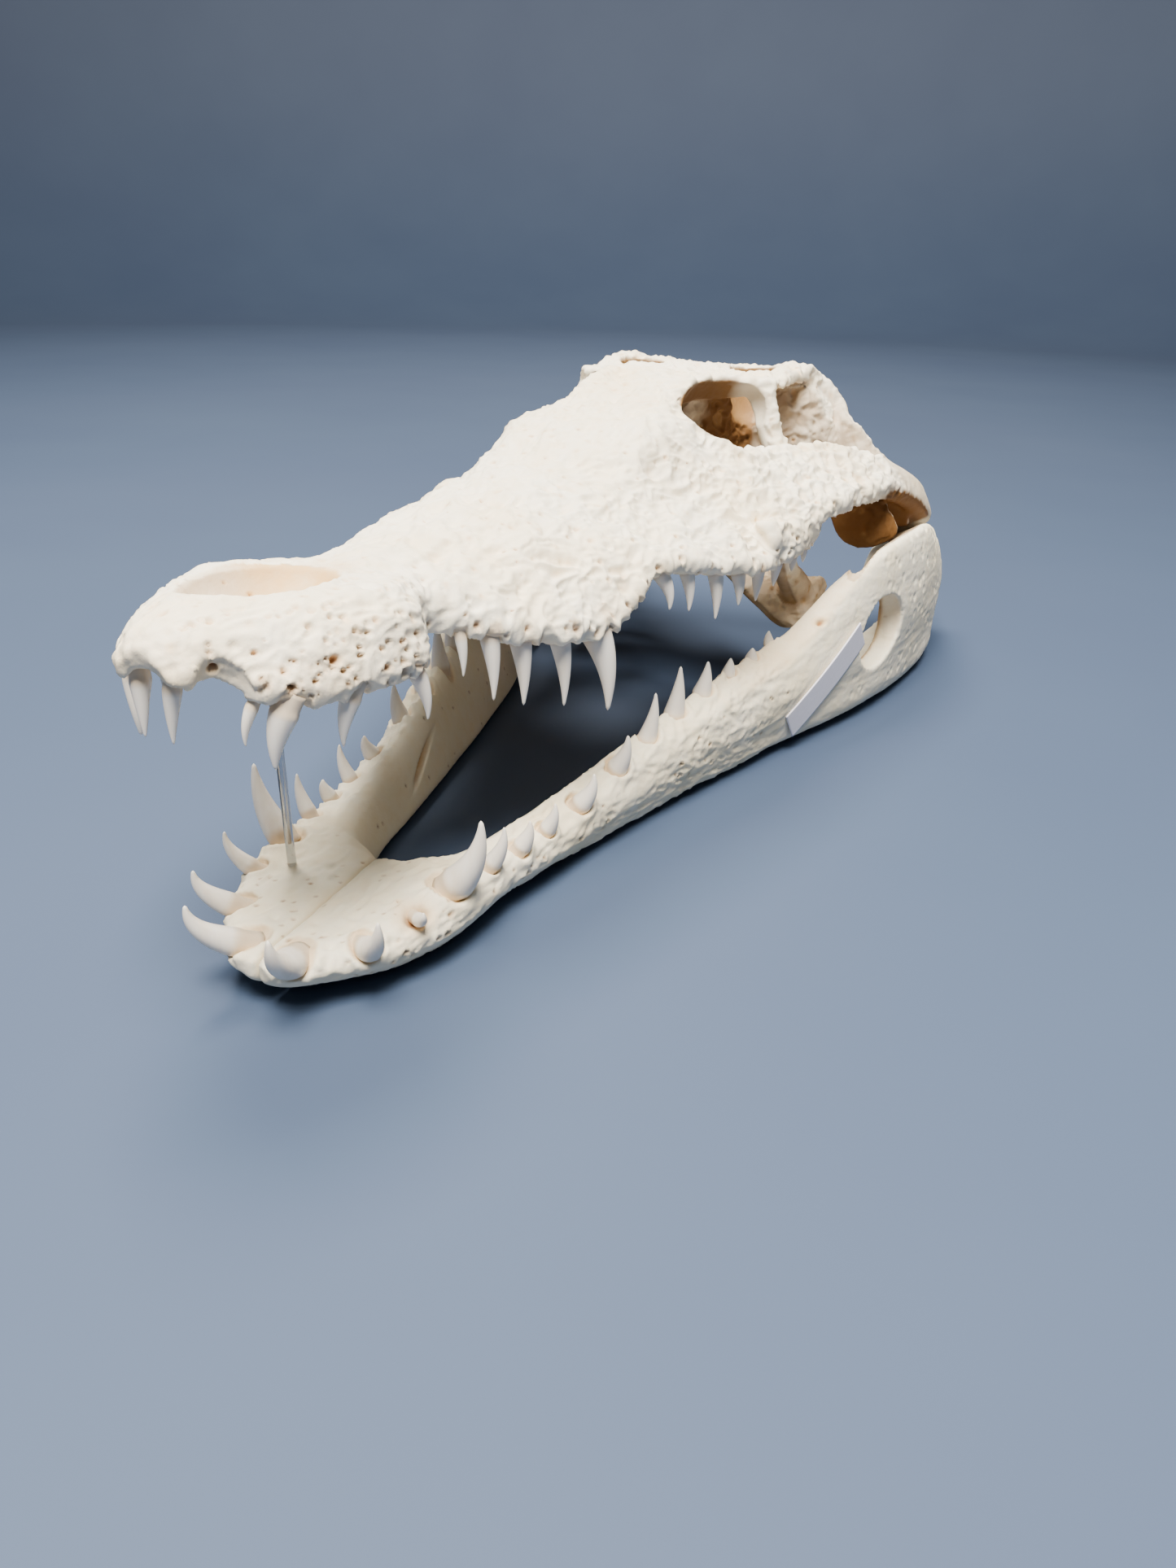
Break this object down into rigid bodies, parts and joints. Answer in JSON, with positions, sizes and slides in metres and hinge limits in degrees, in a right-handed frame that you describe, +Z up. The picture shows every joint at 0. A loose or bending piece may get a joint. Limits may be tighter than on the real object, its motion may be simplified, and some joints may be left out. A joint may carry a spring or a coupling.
{
  "type": "crocodile skull specimen",
  "caption": "Life-size crocodile skull with its mouth propped open: toothed cranium over two toothed lower jaw halves, a thin prop rod and a bare paper label.",
  "frame": {"origin": "on the floor, under the middle of the whole object's footprint", "axes": "+Z up, the snout points to -Y, the animal's left side is +X"},
  "size_m": [0.2138, 0.4426, 0.1361],
  "materials": {
    "cranium_bone": "matt bleached bone",
    "mandible_left_bone": "matt bleached bone",
    "mandible_right_bone": "matt bleached bone",
    "prop_rod": "clear rod",
    "specimen_label": "matt paper"
  },
  "bodies": {
    "root": {"cranium": "cranium_bone", "mandible_left": "mandible_left_bone", "mandible_right": "mandible_right_bone", "prop_rod": "prop_rod", "specimen_label": "specimen_label"}
  },
  "joints": []
}
